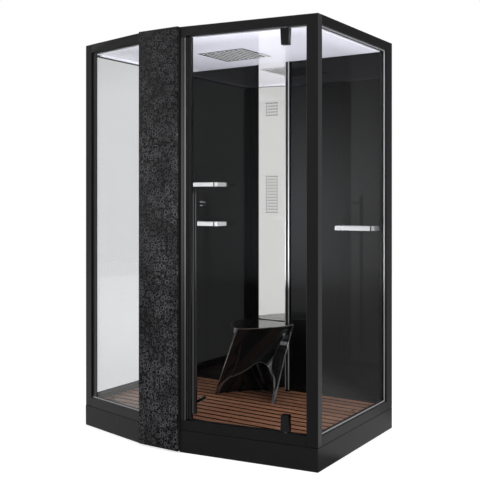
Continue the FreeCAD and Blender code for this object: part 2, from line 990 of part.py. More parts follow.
def supply_pipes():
    """Hot and cold lines under the tray: a run with its nipple, an elbow and a riser each."""
    solids = []
    bore = pipe_radius - pipe_wall
    for offset in (hot_port, cold_port):
        low = port(offset, supply_z)
        elbow_run = low + BACK * (pipe_bend + riser_start)
        elbow_top = port(offset, rim_top + riser_start)
        nipple_y = back_y - nipple_length
        run = straight_pipe(elbow_run, vec(low.x, nipple_y, supply_z))
        nipple = tube(vec(low.x, nipple_y, supply_z), BACK, nipple_radius, bore, nipple_length)
        solids.append(run.fuse(nipple))
        solids.append(bent_pipe([elbow_run, low, elbow_top]))
        solids.append(straight_pipe(elbow_top, port(offset, valve_height - valve_boss_reach)))
    return Part.makeCompound(solids)


def jets_pipe_y():
    return jets_y + jets_wall + manifold_depth / 2


def riser_pipes():
    """Lines from the valve to the rain head and, over the ceiling, to the jet manifolds."""
    start_z = valve_height + valve_boss_reach
    upper, lower = [manifold_span(rows, middle) for rows, middle in JET_GROUPS]
    jets_start = port(jets_port, start_z)
    jets_line = [jets_start, vec(jets_start.x, valve_y, roof_pipe_z),
                 vec(jets_start.x, jets_pipe_y(), roof_pipe_z), vec(0, jets_pipe_y(), roof_pipe_z),
                 vec(0, jets_pipe_y(), upper[1])]
    link = straight_pipe(vec(0, jets_pipe_y(), lower[1]), vec(0, jets_pipe_y(), upper[0]))
    head_line = [port(head_port, start_z), vec(head_x, valve_y, roof_pipe_z),
                 vec(head_x, head_y, roof_pipe_z), vec(head_x, head_y, head_top)]
    return Part.makeCompound([bent_pipe(head_line), bent_pipe(jets_line), link])


# Door

def door_notches():
    """Cut-outs of the pane round the two pivots."""
    span = (pivot_s - notch_width / 2, pivot_s + notch_width / 2)
    depth = (door_setback, door_setback + glass_thickness)
    low = door_bay.block(span, depth, (door_low, door_low + notch_height))
    high = door_bay.block(span, depth, (door_high - notch_height, door_high))
    return low, high


def standoff_heights():
    return (handle_low + standoff_end_setback, handle_low + handle_length - standoff_end_setback)


def door_glass():
    depth = (door_setback, door_setback + glass_thickness)
    pane = door_bay.block(door_glass_s, depth, (door_low, door_high))
    for notch in door_notches():
        pane = pane.cut(notch)
    for z in standoff_heights():
        start = door_bay.point(handle_s, door_setback, z)
        pane = pane.cut(rod(start, door_bay.inward, standoff_radius + standoff_hole_gap, glass_thickness))
    return pane


def door_edge_profile():
    depth = (pivot_o - door_edge_depth / 2, pivot_o + door_edge_depth / 2)
    return door_bay.block((door_glass_s[1], door_edge_s), depth, (door_low, door_high))


def door_hinge_seal():
    span = (door_glass_s[0] - hinge_seal_width, door_glass_s[0])
    depth = (door_setback, door_setback + glass_thickness)
    return door_bay.block(span, depth, (door_low, door_high))


def strike_seal():
    depth = (pivot_o - strike_seal_depth / 2, pivot_o + strike_seal_depth / 2)
    return door_bay.block((jamb_s - strike_seal_width, jamb_s), depth, (door_low, door_high))


def patch(z_end, z_inner, pane, bush_hole):
    """Clamp over one end of the pane, tapering towards its inner end, with a core in the notch."""
    half = patch_width / 2
    near = pivot_o - patch_depth / 2
    outline = [door_bay.point(pivot_s - half, near, z_end), door_bay.point(pivot_s + half, near, z_end),
               door_bay.point(pivot_s + half - patch_taper, near, z_inner),
               door_bay.point(pivot_s - half + patch_taper, near, z_inner)]
    block = Part.Face(Part.makePolygon(outline + outline[:1])).extrude(door_bay.inward * patch_depth)
    return block.cut(pane).cut(bush_hole)


def pivot_patches():
    pane = door_glass()
    hole = bush_radius + bush_fit
    axis = door_bay.point(pivot_s, pivot_o)
    low_hole = rod(axis + UP * door_low, UP, hole, bush_length)
    high_hole = rod(axis + UP * door_high, -UP, hole, bush_length)
    return Part.makeCompound([
        patch(door_low, door_low + patch_height, pane, low_hole),
        patch(door_high, door_high - patch_height, pane, high_hole),
    ])


def pivot_bushes():
    axis = door_bay.point(pivot_s, pivot_o)
    bore = pivot_pin_radius + pivot_clearance
    low = tube(axis + UP * door_low, UP, bush_radius, bore, bush_length)
    high = tube(axis + UP * door_high, -UP, bush_radius, bore, bush_length)
    return Part.makeCompound([low, high])


def pivot_pins():
    """Fixed pins on the rails, with a collar that carries the door below."""
    axis = door_bay.point(pivot_s, pivot_o)
    solids = []
    for rail_z, gap, side in ((rail_low_top, door_floor_gap, 1), (rail_high_low, door_head_gap, -1)):
        collar = rod(axis + UP * rail_z, UP * side, collar_radius, gap - collar_gap)
        pin = rod(axis + UP * rail_z, UP * side, pivot_pin_radius, gap + bush_length)
        solids.append(collar.fuse(pin).removeSplitter())
    return Part.makeCompound(solids)


# Handle

def handle_bar():
    return rod(door_bay.point(handle_s, handle_o, handle_low), UP, handle_radius, handle_length)


def handle_standoffs():
    """Studs from the bar through the pane to the inner caps."""
    bar = handle_bar()
    reach = handle_reach + glass_thickness
    studs = [rod(door_bay.point(handle_s, handle_o, z), door_bay.inward, standoff_radius, reach)
             for z in standoff_heights()]
    return Part.makeCompound([stud.cut(bar) for stud in studs])


def handle_inner_caps():
    inner_o = door_setback + glass_thickness
    caps = [rod(door_bay.point(handle_s, inner_o, z), door_bay.inward, cap_radius, cap_length)
            for z in standoff_heights()]
    return Part.makeCompound(caps)


# Shelves

def shelf_places():
    """Left edge and underside of each shelf."""
    side = half_width - profile_depth
    right = side - right_shelf_gap - shelf_width
    left = left_shelf_gap - side
    return [(right, right_shelf_low), (left, left_upper_shelf_low), (left, left_lower_shelf_low)]


def shelf_outline(left, gap):
    """Shelf plan with rounded front corners, drawn in by a gap on every side."""
    x_low, x_high = left + gap, left + shelf_width - gap
    y_low, y_high = wall_y - shelf_depth + gap, wall_y - gap
    radius = shelf_corner - gap
    slack = radius * (1 - math.sqrt(0.5))
    points = [vec(x_low, y_high), vec(x_low, y_low + radius), vec(x_low + slack, y_low + slack),
              vec(x_low + radius, y_low), vec(x_high - radius, y_low), vec(x_high - slack, y_low + slack),
              vec(x_high, y_low + radius), vec(x_high, y_high)]
    edges = [
        Part.makeLine(points[0], points[1]),
        Part.Arc(points[1], points[2], points[3]).toShape(),
        Part.makeLine(points[3], points[4]),
        Part.Arc(points[4], points[5], points[6]).toShape(),
        Part.makeLine(points[6], points[7]),
        Part.makeLine(points[7], points[0]),
    ]
    return Part.Face(Part.Wire(edges))


def raised(face, z_low, z_high):
    return face.translated(UP * z_low).extrude(UP * (z_high - z_low))


def shelf_bands():
    bands = []
    for left, low in shelf_places():
        outer = raised(shelf_outline(left, 0.0), low, low + shelf_height)
        bands.append(outer.cut(raised(shelf_outline(left, shelf_wall), low, low + shelf_height)))
    return Part.makeCompound(bands)


def shelf_plates():
    plates = []
    for left, low in shelf_places():
        plates.append(raised(shelf_outline(left, shelf_wall), low, low + shelf_plate))
    return Part.makeCompound(plates)


def shelf_screws():
    heads = []
    for left, low in shelf_places():
        for side in (-1, 1):
            x = left + shelf_width / 2 + side * shelf_screw_spread / 2
            start = vec(x, wall_y - shelf_wall, low + (shelf_height + shelf_plate) / 2)
            heads.append(rod(start, -BACK, shelf_screw_radius, shelf_screw_height))
    return Part.makeCompound(heads)


# Stool

def stool_seat_corners():
    """Front, right and left corner of the seat; its bulged back edge faces the jets column."""
    height = stool_seat_side * math.cos(math.pi / 6)
    back = jets_y - stool_seat_back_gap - stool_seat_bulge
    half = stool_seat_side / 2
    return [vec(0, back - height), vec(half, back), vec(-half, back)]


def stool_feet():
    """The foot under each seat corner, turned a sixth of a turn."""
    front = jets_y - stool_foot_back_gap - stool_foot_depth
    return [vec(-stool_left_reach, front), vec(stool_right_reach, front), vec(0, front + stool_foot_depth)]


def stool_corners(share):
    """Corners at a share of the height, on the straight lines from the feet to the seat."""
    return [foot + (seat - foot) * share for foot, seat in zip(stool_feet(), stool_seat_corners())]


def plan_middle(corners):
    return (corners[0] + corners[1] + corners[2]) * (1 / 3)


def stool_section(share, wall, tip_depth):
    """Outline at a share of the height: three narrow tips, with a fin, a hollow and a fin between them."""
    corners = stool_corners(share)
    middle = plan_middle(corners)
    tips = [corner + (middle - corner).normalize() * tip_depth for corner in corners]
    lift = UP * (deck_top + stool_height * share)
    waist = 4 * share * (1 - share)
    bulge = stool_seat_bulge * share + stool_foot_bulge * (1 - share) - stool_waist * waist
    fin = stool_tip_width / 2 + stool_fin_end + stool_fin_growth * waist
    sides = []
    for i in range(3):
        chord = corners[i] - corners[i - 1]
        along = chord * (1 / chord.Length)
        chord_middle = corners[i - 1] + chord * 0.5
        outward = (chord_middle - middle).normalize()
        start = tips[i - 1] + along * stool_tip_width / 2
        end = tips[i] - along * stool_tip_width / 2
        on_curve = bulge * (1 - (1 - 2 * fin / chord.Length) ** 2)
        ridge = outward * (on_curve + stool_ridge * waist - wall)
        peak = chord_middle + outward * (bulge - wall)
        side = (start, corners[i - 1] + along * fin + ridge, peak, corners[i] - along * fin + ridge, end)
        sides.append([point + lift for point in side])
    edges = []
    for i in range(3):
        start, first_ridge, peak, second_ridge, end = sides[i]
        edges.append(Part.makeLine(start, first_ridge))
        edges.append(Part.Arc(first_ridge, peak, second_ridge).toShape())
        edges.append(Part.makeLine(second_ridge, end))
        edges.append(Part.makeLine(end, sides[(i + 1) % 3][0]))
    return Part.Wire(edges)


def stool_form(wall, tip_depth, high):
    """Loft from the feet up to a share of the height."""
    steps = 6
    sections = [stool_section(high * i / steps, wall, tip_depth) for i in range(steps + 1)]
    return Part.makeLoft(sections, True, False)


def stool_arch():
    """Tall round-topped opening between the front feet, leaning right and narrower towards the inside."""
    sections = []
    for degrees in (0, 20, 40, 60, 75, 85):
        turn = math.radians(degrees)
        rise = stool_arch_height * math.sin(turn)
        corners = stool_corners(rise / stool_height)
        chord = corners[1] - corners[0]
        along = chord * (1 / chord.Length)
        lean = along * (stool_arch_lean * math.sin(turn) ** 2)
        centre = corners[0] + chord * 0.5 + lean + UP * (deck_top + rise)
        outward = ((corners[0] + corners[1]) * 0.5 - plan_middle(corners)).normalize()
        half = (chord.Length / 2 - stool_tip_width / 2 - stool_arch_setback) * math.cos(turn)
        outer_half = along * half
        inner_half = outer_half * stool_arch_taper
        front = outward * (stool_foot_bulge + stool_arch_setback)
        reach = outward * stool_arch_reach
        outline = [centre - outer_half + front, centre + outer_half + front,
                   centre + outer_half, centre + inner_half - reach,
                   centre - inner_half - reach, centre - outer_half]
        sections.append(Part.makePolygon(outline + outline[:1]))
    return Part.makeLoft(sections, True, True)


def stool():
    outer = stool_form(0.0, 0.0, 1.0)
    cavity = stool_form(stool_wall, stool_tip_depth, 1 - stool_wall / stool_height)
    return outer.cut(cavity).cut(stool_arch())


NODES = {
    "levelling_feet": levelling_feet,
    "base_beams": base_beams,
    "tray": tray,
    "aprons": aprons,
    "drain_waste": drain_waste,
    "drain_grate": drain_grate,
    "drain_trap": drain_trap,
    "deck_slats": deck_slats,
    "deck_battens": deck_battens,
    "deck_lift_rings": deck_lift_rings,
    "post_front_right": post_front_right,
    "post_front_left": post_front_left,
    "back_posts": back_posts,
    "jamb_door": jamb_door,
    "mullion_left_front": mullion_left_front,
    "bottom_rails": bottom_rails,
    "top_rails": top_rails,
    "back_frame": back_frame,
    "glass_left_front": lambda: fixed_glass(1),
    "glass_left": lambda: fixed_glass(2),
    "glass_right": lambda: fixed_glass(3),
    "glazing_beads": glazing_beads,
    "back_panels": back_panels,
    "jets_column": jets_column,
    "jet_manifolds": jet_manifolds,
    "panel_trims": panel_trims,
    "ceiling_panel": ceiling_panel,
    "roof_lid": roof_lid,
    "ceiling_led_strips": ceiling_led_strips,
    "shower_head": shower_head,
    "shower_head_face": shower_head_face,
    "shower_head_nozzles": shower_head_nozzles,
    "power_supply": power_supply,
    "cable_gland": cable_gland,
    "column_glass": column_glass,
    "column_backing": column_backing,
    "column_housing": column_housing,
    "column_inner_cover": column_inner_cover,
    "control_box": control_box,
    "mixer_valve": mixer_valve,
    "temperature_knob": temperature_knob,
    "diverter_knob": diverter_knob,
    "supply_pipes": supply_pipes,
    "riser_pipes": riser_pipes,
    "door_glass": door_glass,
    "door_edge_profile": door_edge_profile,
    "door_hinge_seal": door_hinge_seal,
    "strike_seal": strike_seal,
    "pivot_patches": pivot_patches,
    "pivot_bushes": pivot_bushes,
    "pivot_pins": pivot_pins,
    "handle_bar": handle_bar,
    "handle_standoffs": handle_standoffs,
    "handle_inner_caps": handle_inner_caps,
    "shelf_bands": shelf_bands,
    "shelf_plates": shelf_plates,
    "shelf_screws": shelf_screws,
    "stool": stool,
}

os.makedirs("parts", exist_ok=True)
for name, make in NODES.items():
    shape = make()
    shape.exportStep("parts/" + name + ".step")
    print(name, len(shape.Solids), "solids", round(shape.Volume / 1000), "cm3", shape.isValid())
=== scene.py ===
import json
import math

import bpy
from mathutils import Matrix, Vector


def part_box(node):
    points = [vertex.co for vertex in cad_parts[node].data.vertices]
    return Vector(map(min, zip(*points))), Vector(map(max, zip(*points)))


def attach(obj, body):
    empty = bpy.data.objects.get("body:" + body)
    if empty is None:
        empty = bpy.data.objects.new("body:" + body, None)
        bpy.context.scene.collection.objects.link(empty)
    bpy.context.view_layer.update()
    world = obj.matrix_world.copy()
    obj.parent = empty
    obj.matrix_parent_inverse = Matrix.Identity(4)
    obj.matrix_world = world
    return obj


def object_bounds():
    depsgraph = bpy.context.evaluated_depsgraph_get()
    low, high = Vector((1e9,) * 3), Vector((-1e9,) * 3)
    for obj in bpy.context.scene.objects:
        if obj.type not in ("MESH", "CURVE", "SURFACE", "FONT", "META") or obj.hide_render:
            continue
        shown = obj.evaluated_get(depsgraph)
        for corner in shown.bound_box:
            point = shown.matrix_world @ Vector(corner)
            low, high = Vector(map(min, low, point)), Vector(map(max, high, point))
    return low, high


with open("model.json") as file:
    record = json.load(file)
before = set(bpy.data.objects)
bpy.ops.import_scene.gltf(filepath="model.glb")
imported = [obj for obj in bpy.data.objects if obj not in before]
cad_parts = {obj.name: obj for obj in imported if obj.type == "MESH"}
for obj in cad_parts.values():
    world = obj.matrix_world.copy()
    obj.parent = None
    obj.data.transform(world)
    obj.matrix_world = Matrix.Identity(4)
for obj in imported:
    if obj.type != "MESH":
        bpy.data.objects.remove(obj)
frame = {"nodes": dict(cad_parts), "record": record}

cad_low, cad_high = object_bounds()

# Camera: place in metres, lens in millimetres, shift as a share of the frame
CAMERA_PLACE = (2.51924, -3.75924, 1.29402)
CAMERA_YAW = math.radians(33.16)
CAMERA_LENS = 60.26
CAMERA_SHIFT_Y = -0.0835

# Lamps: name, place, aim and size in metres, power in watts
STUDIO_AIM = (0.0, 0.0, 1.1)
LAMPS = (
    ("key_lamp", (3.6, -0.8, 3.0), STUDIO_AIM, 2.6, 80.0),
    ("front_lamp", (-1.2, -4.6, 3.2), STUDIO_AIM, 3.0, 70.0),
    ("bounce_lamp", (0.25, -0.05, 0.75), (0.25, -0.05, 2.1), 0.7, 25.0),
)

# Floor, in metres; its levels are shares of white
FLOOR_HALF = 9.0
FLOOR_GLOW = 0.68
FLOOR_DARK = 0.22

# Surroundings that gloss shows: angles run from the front towards the right, levels are shares of white
SKY_FILL = 0.42
SECTOR_EDGE = math.radians(5)
DARK_FROM = math.radians(-22)
DARK_TO = math.radians(84)
DARK_TOP = math.radians(52)
DARK_LEVEL = 0.08
RIGHT_LEVEL = 0.75
HIGH_RIGHT_RISE = (math.radians(-4), math.radians(16))
HIGH_RIGHT_LEVEL = 0.22
BEHIND_FROM = math.radians(132)
BEHIND_LEVEL = 0.46
LEFT_TO = math.radians(-48)
LEFT_LEVEL = 0.5

# Soft lamp in the surroundings: the way to it, its reach and its level
SOFT_LAMP_WAY = Vector((-0.285, -0.958, 0.025)).normalized()
SOFT_LAMP_REACH = math.radians(12)
SOFT_LAMP_LEVEL = 0.9

# Upright strip lamps in the surroundings: their top, and the middle, half width and level of each
STRIP_LAMP_TOP = math.radians(26)
STRIP_LAMPS = (
    (math.radians(68), math.radians(6), 5.0),
    (math.radians(-43), math.radians(3), 4.0),
)

# Face of the door front in plan, in metres: it bows forward from the right post to the column
SIDE_DEPTH = 0.9
BOW_DEPTH = 0.108
DOOR_RUN = 0.74
DOOR_END = Vector((cad_high.x, cad_high.y - SIDE_DEPTH))
DOOR_START = DOOR_END - Vector((DOOR_RUN, BOW_DEPTH))
DOOR_ALONG = (DOOR_END - DOOR_START).normalized()
DOOR_OUT = Vector((DOOR_ALONG.y, -DOOR_ALONG.x))

# Strips added to the door front, in metres: run along it, depth out of its face, and height
JAMB_BAND_RUN = (0.008, 0.024)
JAMB_LINE_RUN = (0.028, 0.037)
JAMB_DEPTH = (-0.0005, 0.001)
JAMB_HEIGHT = (0.17, 2.122)
SEAL_RUN = (-0.004, 0.004)
SEAL_DEPTH = (-0.007, -0.004)
SEAL_HEIGHT = (0.004, 0.116)

# Line added to the jets column's right trim, in metres: insets of its sides, and its face and foot
JETS_LINE_INSET = (0.017, 0.009)
JETS_LINE_PROUD = 0.001
JETS_LINE_RISE = 0.024

# Softened edges, in metres, and the least turn of the faces that meet there
STRIP_ROUND = 0.0003
FRAME_ROUND = 0.0012
POST_ROUND = 0.004
STOOL_ROUND = 0.0025
SHARP_TURN = math.radians(50)
STOOL_TURN = math.radians(20)
ROUND_STEPS = 2
WELD_REACH = 0.00001
FRAME_NODES = ("back_posts", "jamb_door", "mullion_left_front", "bottom_rails", "top_rails", "aprons",
               "deck_slats")
POST_NODES = ("post_front_right", "post_front_left")

# Deck: slats and the gaps between them in metres, and shares of their pitch
SLAT_WIDTH = 0.052
SLAT_GAP = 0.012
SLAT_PITCH = SLAT_WIDTH + SLAT_GAP
SLAT_SHARE = SLAT_WIDTH / SLAT_PITCH
SLAT_PAINTED_SHADE = 0.1

# Frame, beads and shelves: places in metres, facing as a share of straight right
# Facing from which the front right post's face takes its painted light
RIGHT_FACING = (0.6, 0.95)
# Where the beads' painted highlight lies: below this height and in front of this line
BEAD_LOW = 0.174
BEAD_FRONT = -0.3
SHELF_LEFT_END = -0.355
MITRE_INSET = 0.018
MITRE_HALF = 0.003

# Painted glow of light in the right wall panel: its middle and reach across and up, in metres
PAINTED_GLOW_PLACE = (0.2, 1.25)
PAINTED_GLOW_REACH = (0.75, 0.85)
PAINTED_GLOW_LEVEL = 0.03

# Stool's painted highlights on its edges: widths left and right in metres, where they change, and the turn
# that shows
PAINTED_HIGHLIGHT_WIDTH = (0.005, 0.011)
PAINTED_HIGHLIGHT_RIGHT = (0.13, 0.17)
PAINTED_HIGHLIGHT_TURN = (0.003, 0.045)
PAINTED_HIGHLIGHT_SAMPLES = 8

# Ceiling and rain head, in metres, apart from strengths of glow and a collar's edge, a share of the pitch
FRAME_DEPTH = 0.042
CEILING_HALF = 0.708
# The ceiling's glow is painted light near its front and side edges
CEILING_PAINTED_GLOW_REACH = 0.24
CEILING_PAINTED_GLOW = 0.29
LED_GLOW = 0.35
NOZZLE_PITCH = 0.03
COLLAR_EDGE = (0.38, 0.42)

# Panes: heights in metres over which they grow darker towards their ends, gloss at a flat angle, and tones
# about the tint
DARKER_LOW = (0.17, 0.7)
DARKER_HIGH = (1.85, 2.15)
FLAT_GLOSS = 0.15
FLAT_POWER = 5.0
PANE_TONES = ((-0.014, -0.009, -0.006), (0.004, 0.008, 0.011))

# Column's print: radii as shares of a cell, height of the faint top in metres, and shares of ink; its fall
# to the left is painted shade
RING_RADIUS = (0.16, 0.44)
SMALL_RINGS = 0.5
INK_CLOUD = (0.35, 0.65)
INK_TOP = (1.45, 1.9)
INK_SHADE_AND_FADE = 0.72


class Nodes:
    """A cleared node tree, with short calls to add nodes to it and join them."""

    def __init__(self, node_tree):
        self.nodes = node_tree.nodes
        self.links = node_tree.links
        self.nodes.clear()

    def node(self, kind, **settings):
        made = self.nodes.new("ShaderNode" + kind)
        for key, value in settings.items():
            setattr(made, key, value)
        return made

    def feed(self, source, socket):
        """A number, colour or vector is set on the socket, and an output is joined to it."""
        if isinstance(source, bpy.types.NodeSocket):
            self.links.new(source, socket)
        else:
            socket.default_value = source

    def math(self, operation, *values):
        made = self.node("Math", operation=operation)
        for value, socket in zip(values, made.inputs):
            self.feed(value, socket)
        return made.outputs[0]

    def flip(self, share):
        """What is left of 1 beside a share."""
        return self.math("SUBTRACT", 1.0, share)

    def offset(self, value, middle, unit):
        """How many units a value lies from a middle."""
        return self.math("DIVIDE", self.math("SUBTRACT", value, middle), unit)

    def length(self, across, up):
        squares = [self.math("MULTIPLY", part, part) for part in (across, up)]
        return self.math("SQRT", self.math("ADD", *squares))

    def dot(self, first, second):
        made = self.node("VectorMath", operation="DOT_PRODUCT")
        self.feed(first, made.inputs[0])
        self.feed(second, made.inputs[1])
        return made.outputs["Value"]

    def axes(self, vector):
        """A vector's three parts, by the names X, Y and Z."""
        made = self.node("SeparateXYZ")
        self.links.new(vector, made.inputs[0])
        return made.outputs

    def step(self, value, start, end):
        """0 below start and 1 above end, with a smooth change between them."""
        made = self.node("MapRange", interpolation_type="SMOOTHSTEP")
        self.feed(value, made.inputs["Value"])
        made.inputs["From Min"].default_value = start
        made.inputs["From Max"].default_value = end
        return made.outputs["Result"]

    def shader(self, kind, **sockets):
        """A shader with some sockets set; a socket's name is written with underscores."""
        made = self.node(kind)
        for name, value in sockets.items():
            self.feed(value, made.inputs[name.replace("_", " ")])
        return made.outputs[0]

    def mix(self, share, first, second):
        """The first shader, with the second in its place as far as the share says."""
        made = self.node("MixShader")
        self.feed(share, made.inputs["Fac"])
        self.links.new(first, made.inputs[1])
        self.links.new(second, made.inputs[2])
        return made.outputs[0]


class Shader(Nodes):
    """The nodes of a new material."""

    def __init__(self, name):
        self.material = bpy.data.materials.new(name)
        self.material.use_nodes = True
        super().__init__(self.material.node_tree)

    def place(self, scale=(1.0, 1.0, 1.0)):
        """Coordinates of the piece itself, in metres, stretched by a scale."""
        coordinates = self.node("TexCoord")
        mapping = self.node("Mapping")
        self.links.new(coordinates.outputs["Object"], mapping.inputs["Vector"])
        mapping.inputs["Scale"].default_value = scale
        return mapping.outputs["Vector"]

    def noise(self, vector, scale, detail=4.0, roughness=0.55):
        made = self.node("TexNoise")
        self.links.new(vector, made.inputs["Vector"])
        made.inputs["Scale"].default_value = scale
        made.inputs["Detail"].default_value = detail
        made.inputs["Roughness"].default_value = roughness
        return made.outputs["Fac"]

    def span(self, value, low, high):
        """Spread a 0 to 1 value over a new range."""
        made = self.node("MapRange")
        self.feed(value, made.inputs["Value"])
        made.inputs["To Min"].default_value = low
        made.inputs["To Max"].default_value = high
        return made.outputs["Result"]

    def blend(self, share, first, second, way="MIX"):
        made = self.node("Mix", data_type="RGBA", blend_type=way)
        self.feed(share, made.inputs["Factor"])
        self.feed(first, made.inputs[6])
        self.feed(second, made.inputs[7])
        return made.outputs[2]

    def bump(self, height, strength, distance):
        made = self.node("Bump")
        self.links.new(height, made.inputs["Height"])
        made.inputs["Strength"].default_value = strength
        made.inputs["Distance"].default_value = distance
        return made.outputs["Normal"]

    def finish(self, shader):
        output = self.node("OutputMaterial")
        self.links.new(shader, output.inputs["Surface"])
        return self.material

    def surface(self, **sockets):
        """Finish the material with one Principled shader."""
        return self.finish(self.shader("BsdfPrincipled", **sockets))


def rgb(red, green, blue):
    return (red, green, blue, 1.0)


def grey(level):
    return rgb(level, level, level)


# Coated and bare metals

def coated_metal(name, dark, pale, shine, rough, painted_lit_face=None):
    """Powder coat: a fine grain, slow changes of tone and gloss, and, if given, a paler face towards the
    right as painted light.
    """
    tree = Shader(name)
    grain = tree.noise(tree.place(), scale=1800.0, detail=2.0)
    drift = tree.noise(tree.place(), scale=3.0)
    colour = tree.blend(drift, dark, pale)
    if painted_lit_face:
        facing = tree.axes(tree.node("NewGeometry").outputs["Normal"])
        # painted light: faces that turn to the right take the paler colour of a lit face
        colour = tree.blend(tree.step(facing["X"], *RIGHT_FACING), colour, painted_lit_face)
    return tree.surface(Base_Color=colour, Roughness=tree.span(drift, *rough), Specular_IOR_Level=shine,
                        Normal=tree.bump(grain, strength=0.12, distance=0.0003))


def frame_coat(name, painted_lit_face=None):
    return coated_metal(name, dark=rgb(0.0085, 0.0085, 0.0092), pale=rgb(0.0115, 0.0115, 0.0122),
                        shine=0.2, rough=(0.3, 0.4), painted_lit_face=painted_lit_face)


def frame_black():
    return frame_coat("frame_black")


def post_black():
    """The frame's coat on the front right post, with painted light: its face towards the right pane is
    coloured paler, as if lit.
    """
    return frame_coat("post_black", painted_lit_face=rgb(0.036, 0.036, 0.038))


def trim_black():
    return coated_metal("trim_black", dark=rgb(0.0012, 0.0012, 0.0015), pale=rgb(0.002, 0.002, 0.0024),
                        shine=0.02, rough=(0.5, 0.6))


def base_steel():
    return coated_metal("base_steel", dark=rgb(0.13, 0.13, 0.14), pale=rgb(0.19, 0.19, 0.2),
                        shine=0.4, rough=(0.45, 0.6))


def handle_black():
    """Dark plated metal with a soft streak along its length."""
    tree = Shader("handle_black")
    streak = tree.noise(tree.place((900.0, 900.0, 2.0)), scale=1.0)
    colour = tree.blend(streak, rgb(0.05, 0.05, 0.051), rgb(0.08, 0.08, 0.082))
    return tree.surface(Base_Color=colour, Metallic=1.0, Roughness=tree.span(streak, 0.1, 0.16))


def metal(name, dark, pale, rough, stretch):
    """Bare metal with fine marks, drawn out along the axis that the stretch scales least."""
    tree = Shader(name)
    line = tree.noise(tree.place(stretch), scale=1.0, detail=3.0)
    cloud = tree.noise(tree.place(), scale=6.0)
    return tree.surface(Base_Color=tree.blend(cloud, dark, pale), Metallic=1.0,
                        Roughness=tree.span(line, *rough),
                        Normal=tree.bump(line, strength=0.05, distance=0.0002))


def mirror_steel():
    return metal("mirror_steel", dark=rgb(0.94, 0.925, 0.9), pale=rgb(0.97, 0.955, 0.93),
                 rough=(0.015, 0.03), stretch=(40.0, 40.0, 1.0))


def chrome():
    return metal("chrome", dark=rgb(0.74, 0.75, 0.77), pale=rgb(0.82, 0.83, 0.85),
                 rough=(0.03, 0.08), stretch=(90.0, 90.0, 90.0))


def steel():
    return metal("steel", dark=rgb(0.48, 0.48, 0.49), pale=rgb(0.6, 0.6, 0.61),
                 rough=(0.22, 0.34), stretch=(5.0, 700.0, 700.0))


def pipe_copper():
    return metal("pipe_copper", dark=rgb(0.5, 0.24, 0.14), pale=rgb(0.66, 0.36, 0.22),
                 rough=(0.2, 0.35), stretch=(30.0, 30.0, 30.0))


def valve_brass():
    return metal("valve_brass", dark=rgb(0.55, 0.4, 0.18), pale=rgb(0.7, 0.54, 0.28),
                 rough=(0.28, 0.45), stretch=(60.0, 60.0, 60.0))


def satin_strip(name, dark, pale):
    """Narrow rolled strip with a soft grain along it."""
    return metal(name, dark, pale, rough=(0.16, 0.24), stretch=(800.0, 800.0, 3.0))


def strip_taupe():
    return satin_strip("strip_taupe", dark=rgb(0.066, 0.061, 0.065), pale=rgb(0.084, 0.077, 0.082))


def strip_pale():
    return satin_strip("strip_pale", dark=rgb(0.19, 0.19, 0.195), pale=rgb(0.23, 0.23, 0.235))


def line_satin():
    """Pale matt line that takes its tone from the light in the cabin."""
    tree = Shader("line_satin")
    grain = tree.noise(tree.place((400.0, 400.0, 6.0)), scale=1.0, detail=3.0)
    colour = tree.blend(grain, rgb(0.42, 0.42, 0.43), rgb(0.52, 0.52, 0.53))
    return tree.surface(Base_Color=colour, Roughness=tree.span(grain, 0.35, 0.5))


def bead_bright():
    """Rolled black beads with a painted highlight: coloured bright round the right pane and under the left
    front one.
    """
    tree = Shader("bead_bright")
    axes = tree.axes(tree.place())
    low = tree.math("LESS_THAN", axes["Z"], BEAD_LOW)
    front = tree.math("LESS_THAN", axes["Y"], BEAD_FRONT)
    right = tree.math("GREATER_THAN", axes["X"], 0.0)
    # painted highlight: where the beads are coloured bright in place of the light they catch
    shown = tree.math("MAXIMUM", right, tree.math("MULTIPLY", low, front))
    line = tree.noise(tree.place((500.0, 500.0, 500.0)), scale=1.0, detail=3.0)
    black = tree.blend(line, rgb(0.012, 0.012, 0.013), rgb(0.02, 0.02, 0.021))
    painted_highlight_colour = tree.blend(line, rgb(0.5, 0.5, 0.52), rgb(0.62, 0.62, 0.64))
    return tree.surface(Base_Color=tree.blend(shown, black, painted_highlight_colour), Metallic=tree.span(shown, 0.0, 0.3),
                        Roughness=tree.span(line, 0.26, 0.4), Specular_IOR_Level=0.4)


def shelf_satin():
    """Bright satin metal with dark mitre lines at the corners, a little duller on the right shelf."""
    tree = Shader("shelf_satin")
    line = tree.noise(tree.place((6.0, 6.0, 900.0)), scale=1.0, detail=3.0)
    across = tree.axes(tree.place())["X"]
    right = tree.math("GREATER_THAN", across, 0.0)
    dark = tree.blend(right, rgb(0.74, 0.74, 0.745), rgb(0.5, 0.5, 0.51))
    pale = tree.blend(right, rgb(0.82, 0.82, 0.825), rgb(0.58, 0.58, 0.59))
    colour = tree.blend(line, dark, pale)
    for corner in (SHELF_LEFT_END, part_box("shelf_bands")[1].x):
        away = tree.math("ABSOLUTE", tree.math("SUBTRACT", across, corner - MITRE_INSET))
        colour = tree.blend(tree.math("LESS_THAN", away, MITRE_HALF), colour, grey(0.02))
    return tree.surface(Base_Color=colour, Metallic=0.5, Roughness=tree.span(line, 0.2, 0.3))


